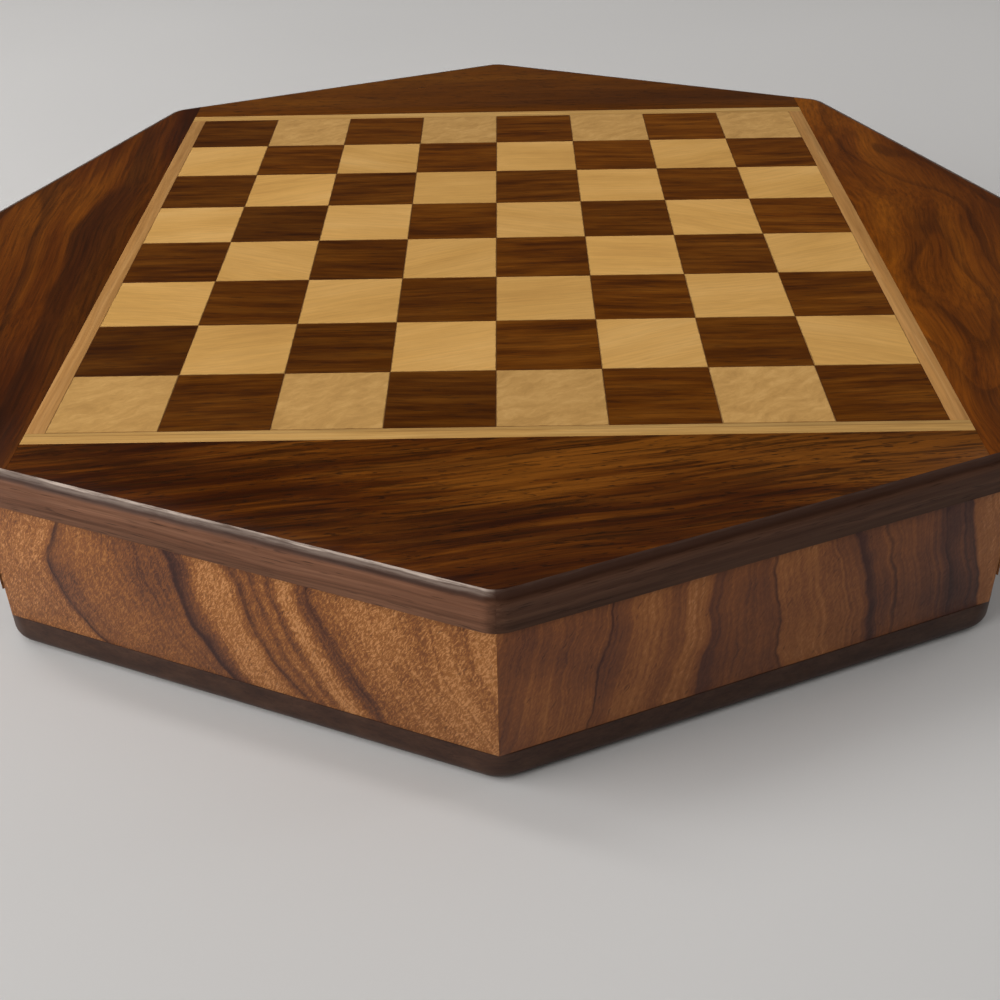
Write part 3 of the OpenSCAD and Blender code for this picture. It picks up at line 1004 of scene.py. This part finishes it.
for side in ("near", "far", "left", "right"):
    low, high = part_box("border_" + side)
    strip = add_block("border_strip_" + side, low, high)
    ease_edges(strip, veneer_ease)
    lay_flat_grain(strip, side)
    finish = strip_finish["across" if side in ("near", "far") else "along"]
    dress(strip, "case", "maple_inlay", finish, "border_" + side)
    print(strip.name, "is %.1f mm long" % (1000 * max(high[0] - low[0], high[1] - low[1])))

# %% [markdown]
# ## The rosewood fields
# All four come from one octagonal plate with round corners, sawn along the border. The left and right
# fields run the full depth, and the near and far ones fit between them.

# %% Fields
plate = add_octagon("plate", flat_d, core_top, top, corner_r - rim_edge_r)
ends = [((-border_half, 0, 0), (-1, 0, 0)), ((border_half, 0, 0), (1, 0, 0))]
cuts = {
    "left": [((-border_half, 0, 0), (1, 0, 0))],
    "right": [((border_half, 0, 0), (-1, 0, 0))],
    "near": [((0, -border_half, 0), (0, 1, 0)), *ends],
    "far": [((0, border_half, 0), (0, -1, 0)), *ends],
}
for side, saws in cuts.items():
    veneer = copy_piece(plate, "veneer_" + side)
    for point, outwards in saws:
        slice_off(veneer, point, outwards)
    ease_edges(veneer, veneer_ease)
    lay_flat_grain(veneer, side, (0, 0, 0))
    dress(veneer, "case", "rosewood_veneer", field_finish[side], "field_" + side)
    print(veneer.name, "has", len(veneer.data.polygons), "faces")
bpy.data.objects.remove(plate)

# %% [markdown]
# ## The rim
# The eight rim strips are made as one ring, so that their rounded edge meets at the corners. The ring's
# corners and upper edge are rounded, a rebate is sunk for the veneers, the middle is carved out, and the
# ring is sawn into strips along the mitres.

# %% Rim
def cut_board(ring, name, facing):
    """Saws the board that faces a direction out of a copy of a ring, along its two mitres."""
    board = copy_piece(ring, name)
    for side in (1, -1):
        angle = math.radians(facing) + side * half_turn
        slice_off(board, (0, 0, 0), (-side * math.sin(angle), side * math.cos(angle), 0))
    return board


def blend_in(at_mitre, further):
    """A number that changes over the round near corner, so that the two strips there agree at their mitre."""
    return lambda place: at_mitre + (further - at_mitre) * min(1.0, abs(place.x) / round_half)


round_half = 2.5 * MM
side_names = {22.5: "right_far", 67.5: "far_right", 112.5: "far_left", 157.5: "left_far",
              202.5: "left_near", 247.5: "near_left", 292.5: "near_right", 337.5: "right_near"}

ring = add_octagon("rim_ring", rim_out, wall_top, top, corner_r)
open_piece(ring, "EDGE", at_height(top))
bpy.ops.mesh.bevel(offset=rim_edge_r, segments=edge_steps, affect="EDGES")
close_piece()
open_piece(ring, "FACE", lambda face: face.normal.z > 0.99 and face.calc_center_median().xy.length < MM)
bpy.ops.mesh.extrude_region_move(TRANSFORM_OT_translate={"value": (0, 0, core_top - top)})
close_piece()
carve(ring, add_octagon("hollow", rim_out - rim_w, wall_top - cutter_over, top + cutter_over))
# Painted light in each strip's tone: lighter on the strips that face the lamp at the left, darker on the
# right.
rim_tone_and_light = {"near_left": 1.75, "near_right": 0.80, "left_near": 1.2, "right_near": 0.9, "far_left": 1.0}
# Strength of the worn edge and its painted highlight on each strip: strongest on the near left, where the
# light falls.
rim_wear_and_highlight = {"near_left": 0.75, "near_right": 0.02, "left_near": 0.3, "right_near": 0.1, "far_left": 0.2}
for facing, side in side_names.items():
    strip = cut_board(ring, "rim_strip_" + side, facing)
    shade_smooth(strip, sharp_angle)
    lay_grain(strip, *side_frame(facing))
    mark(strip, "tone", blend_in(0.95, rim_tone_and_light.get(side, 1.1)))
    mark(strip, "wear_and_highlight", blend_in(0.05, rim_wear_and_highlight.get(side, 0.15)))
    dress(strip, "case", "dark_edge_wood", rim_finish, "rim_" + side)
print("The rim has", len(side_names), "strips of", len(strip.data.polygons), "faces")
bpy.data.objects.remove(ring)

# %% [markdown]
# ## The walls
# The four fixed side boards are also sawn from one ring. Their edges are barely eased, so each mitre
# shows as a fine line at the corner.

# %% Walls
ring = add_octagon("wall_ring", wall_out, base_top, wall_top)
carve(ring, add_octagon("hollow", wall_out - wall_t, base_top - cutter_over, wall_top + cutter_over))
for facing in (67.5, 112.5, 247.5, 292.5):
    board = cut_board(ring, "side_board_" + side_names[facing], facing)
    ease_edges(board, mitre_ease)
    lay_grain(board, *side_frame(facing), (0, 0, 0))
    dress(board, "case", "figured_rosewood", wall_finish[facing], "wall_" + side_names[facing])
    print(board.name, "is %.1f mm long" % length_mm)
bpy.data.objects.remove(ring)

# %% [markdown]
# ## The base
# One dark board carries everything. Its corners are round like the rim's, and its lower edge is rounded
# over, so that the box seems to float on a thin shadow.

# %% Base
base = add_octagon("base_board", base_out, 0, base_top, corner_r)
open_piece(base, "EDGE", at_height(0))
bpy.ops.mesh.bevel(offset=base_edge_r, segments=edge_steps, affect="EDGES")
close_piece()
ease_edges(base, board_ease)
lay_grain(base, x_axis, y_axis)
dress(base, "case", "dark_edge_wood", base_finish, "base_panel")
print("The base has", len(base.data.polygons), "faces")

# %% [markdown]
# ## Boards with eased edges
# The other boards already have their true shape in the frame. A copy of each is welded, its flat faces
# are joined up again, and its sharp edges are eased, which is what catches the light on a real board.

# %% Eased boards
def eased_copy(node, material, body, slot_name, along, across, width=board_ease, shift=None):
    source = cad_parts[node]
    board = copy_piece(source, node + "_board")
    board.parent = None
    board.matrix_world = Matrix.Identity(4)
    open_piece(board, "VERT", lambda corner: True)
    bpy.ops.mesh.remove_doubles(threshold=same_place)
    bpy.ops.mesh.dissolve_limited(angle_limit=flat_angle)
    close_piece()
    ease_edges(board, width)
    lay_grain(board, along, across, shift)
    dress(board, body, slot_name, material, node)


for node in [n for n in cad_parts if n.startswith(("post_", "runner_", "guide_"))]:
    upright = node.startswith("post_")
    eased_copy(node, plain_wood, "case", "plain_hardwood", z_axis if upright else x_axis, y_axis)
eased_copy("centre_partition", plain_wood, "case", "plain_hardwood", y_axis, z_axis)
eased_copy("core_panel", plywood, "case", "plywood", x_axis, y_axis)
for facing in (22.5, 157.5, 202.5, 337.5):
    eased_copy("sill_" + side_names[facing], wall_finish[facing], "case", "figured_rosewood",
               *side_frame(facing), shift=(0, 0, 0))
print("Eased the boards of the case")

# %% Drawer boards
for side, facings in (("left", (202.5, 157.5)), ("right", (337.5, 22.5))):
    body = side + "_drawer"
    for half, facing in zip(("near", "far"), facings):
        eased_copy(side + "_face_" + half, wall_finish[facing], body, "figured_rosewood",
                   *side_frame(facing), shift=(0, 0, 0))
        eased_copy(side + "_side_" + half, plain_wood, body, "plain_hardwood", x_axis, z_axis)
    eased_copy(side + "_back", plain_wood, body, "plain_hardwood", y_axis, z_axis)
    eased_copy(side + "_nose_block", plain_wood, body, "plain_hardwood", z_axis, x_axis)
    eased_copy(side + "_floor", plywood, body, "plywood", x_axis, y_axis, 0.15 * MM)
    eased_copy(side + "_lining", felt, body, "felt", x_axis, y_axis, 0.3 * MM)
    eased_copy(side + "_knob_screw", steel, body, "steel", x_axis, y_axis, 0.2 * MM)
    print("Eased the boards of the", side, "drawer")

# %% [markdown]
# ## The knobs
# Each drawer is pulled by a small turned brass knob. It is made as on a lathe: a ring is drawn out and
# resized again and again, from the foot over the waisted neck to the domed head.

# %% Knobs
def turn_knob(name, rings, seat, outwards):
    """Draws a ring out through (distance, radius) pairs, then lays the knob along X on its seat."""
    bpy.ops.mesh.primitive_circle_add(vertices=48, radius=rings[0][1], fill_type="NGON")
    bpy.ops.object.mode_set(mode="EDIT")
    bpy.ops.mesh.select_mode(type="FACE")
    bpy.ops.mesh.select_all(action="SELECT")
    for (reached, radius), (distance, wanted) in zip(rings, rings[1:]):
        bpy.ops.mesh.extrude_region_move(TRANSFORM_OT_translate={"value": (0, 0, distance - reached)})
        scale = wanted / radius
        bpy.ops.transform.resize(value=(scale, scale, 1), center_override=(0, 0, distance))
    bpy.ops.mesh.select_all(action="SELECT")
    bpy.ops.mesh.normals_make_consistent(inside=False)
    close_piece()
    knob = bpy.context.object
    knob.rotation_euler = (0, outwards * math.pi / 2, 0)
    knob.location = seat
    settle(knob, name)
    shade_smooth(knob, smooth_angle)
    return knob


knob_rings = [(d * MM, r * MM) for d, r in (
    (0, 4.3), (0.3, 4.5), (1.1, 4.5), (1.4, 4.2), (1.8, 3.6), (2.8, 3.1), (4.5, 2.95), (6.2, 3.1),
    (7.3, 3.6), (8.0, 4.6), (8.5, 5.5), (9.1, 5.9), (10.0, 6.0), (11.0, 5.9), (11.8, 5.3),
    (12.4, 4.1), (12.8, 2.6), (13.0, 0.9),
)]
for side, outwards in (("left", -1), ("right", 1)):
    low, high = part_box(side + "_knob")
    seat = (high[0] if outwards < 0 else low[0], 0, (low[2] + high[2]) / 2)
    knob = turn_knob(side + "_turned_knob", knob_rings, seat, outwards)
    dress(knob, side + "_drawer", "brass", brass, side + "_knob")
    print(knob.name, "stands out %.1f mm" % (1000 * knob.dimensions.x))

# %% [markdown]
# ## The floor
# The box stands on a plain pale surface that isn't part of the object. Far from the box it fades into the
# pale of the backdrop, so that no edge shows behind the box in a low view.

# %% Floor
bpy.ops.mesh.primitive_plane_add(size=12)
ground = settle(bpy.context.object, "ground")
cloth = Bench("pale_cloth")
place = cloth.place()
weave = cloth.ramp(cloth.noise(place, 3, 2), [(0.3, (0.60, 0.585, 0.57)), (0.7, (0.64, 0.625, 0.61))])
away = cloth.fade(cloth.length(cloth.stretch(place, (1, 1, 0))), 0.45, 1.7)
glow = cloth.times(away, cloth.seen())
cloth.plug(glow, cloth.shader.inputs["Emission Strength"])
cloth.shader.inputs["Emission Color"].default_value = (0.58, 0.574, 0.568, 1)
weave = cloth.scale_colour(weave, cloth.minus(1.0, glow))
ground.data.materials.append(cloth.finish(weave, 0.9))
print("The floor is", ground.dimensions.x, "m wide")
